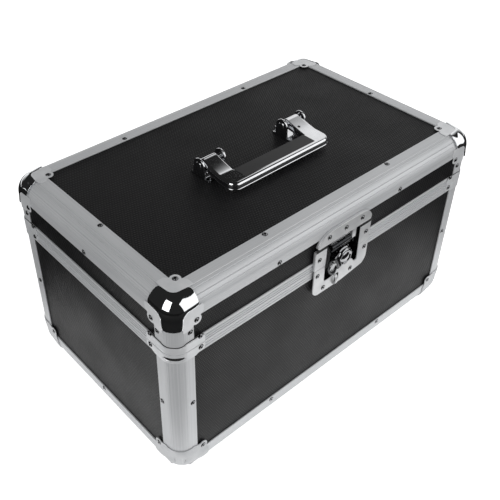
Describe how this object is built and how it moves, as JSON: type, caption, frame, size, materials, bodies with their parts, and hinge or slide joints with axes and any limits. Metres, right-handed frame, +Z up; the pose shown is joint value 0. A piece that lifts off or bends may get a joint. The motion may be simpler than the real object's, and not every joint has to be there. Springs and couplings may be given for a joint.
{
  "type": "record carrying case",
  "caption": "Boxy carrying case with aluminium edges, ball corners, a hinged lid, a folding bail handle and a recessed turning latch.",
  "frame": {"origin": "centre of the bounding box's footprint, on the plane that the rubber feet stand on", "axes": "+X along the long side to the right of someone facing the latch, -Y out of the latch face, +Z up"},
  "size_m": [0.434, 0.2799, 0.263],
  "materials": {
    "laminate": "fine hatched black laminate",
    "aluminium": "satin anodised",
    "chrome": "polished",
    "satin_steel": "satin zinc plate",
    "zinc_steel": "bright zinc plate",
    "plated_steel": "bright plate",
    "rivet_steel": "bright",
    "lining": "short felt pile",
    "rubber": "matt",
    "black_plastic": "smooth"
  },
  "bodies": {
    "box": {"base_panel": "laminate", "body_front_panel": "laminate", "body_back_panel": "laminate", "body_left_panel": "laminate", "body_right_panel": "laminate", "base_edge_front": "aluminium", "base_edge_back": "aluminium", "base_edge_left": "aluminium", "base_edge_right": "aluminium", "upright_front_left": "aluminium", "upright_front_right": "aluminium", "upright_back_right": "aluminium", "upright_back_left": "aluminium", "body_rim_frame": "aluminium", "body_rim_braces": "satin_steel", "body_lining": "lining", "base_ball_corners": "satin_steel", "body_rivets": "rivet_steel", "rubber_feet": "rubber", "foot_screws": "zinc_steel", "hinge_body_leaves": "zinc_steel", "hinge_pins": "zinc_steel", "latch_dish": "zinc_steel", "latch_pivot_post": "zinc_steel"},
    "lid": {"lid_top_panel": "laminate", "lid_front_panel": "laminate", "lid_back_panel": "laminate", "lid_left_panel": "laminate", "lid_right_panel": "laminate", "lid_edge_front": "aluminium", "lid_edge_back": "aluminium", "lid_edge_left": "aluminium", "lid_edge_right": "aluminium", "lid_corner_posts": "aluminium", "lid_rim_frame": "aluminium", "lid_rim_braces": "satin_steel", "lid_lining": "lining", "lid_ball_corners": "chrome", "lid_rivets": "rivet_steel", "hinge_lid_leaves": "zinc_steel", "handle_brackets": "plated_steel", "handle_pins": "zinc_steel", "latch_keeper": "zinc_steel"},
    "handle": {"handle_bail": "plated_steel", "handle_grip_inset": "black_plastic"},
    "turn": {"latch_boss": "zinc_steel", "latch_wing_pin": "zinc_steel"},
    "wing": {"latch_wing": "zinc_steel"},
    "hook": {"latch_hook": "zinc_steel"}
  },
  "joints": [
    {"name": "lid_hinge", "type": "hinge", "parent": "box", "child": "lid", "pos_m": [0, 0.1361, 0.1825], "axis": [-1, 0, 0], "range_deg": [0, 105]},
    {"name": "handle_fold", "type": "hinge", "parent": "lid", "child": "handle", "pos_m": [0, 0.001, 0.255], "axis": [-1, 0, 0], "range_deg": [0, 180]},
    {"name": "latch_twist", "type": "hinge", "parent": "box", "child": "turn", "pos_m": [0, -0.1315, 0.1825], "axis": [0, 1, 0], "range_deg": [0, 180]},
    {"name": "wing_fold", "type": "hinge", "parent": "turn", "child": "wing", "pos_m": [-0.00893, -0.1362, 0.17925], "axis": [-0.342, 0, 0.9397], "range_deg": [0, 90]},
    {"name": "hook_slide", "type": "slide", "parent": "box", "child": "hook", "axis": [0, 0, 1], "range_m": [0, 0.0045]}
  ],
  "couplings": [
    {"joint": "hook_slide", "follows": "latch_twist", "m_per_rad": 0.0014324}
  ]
}
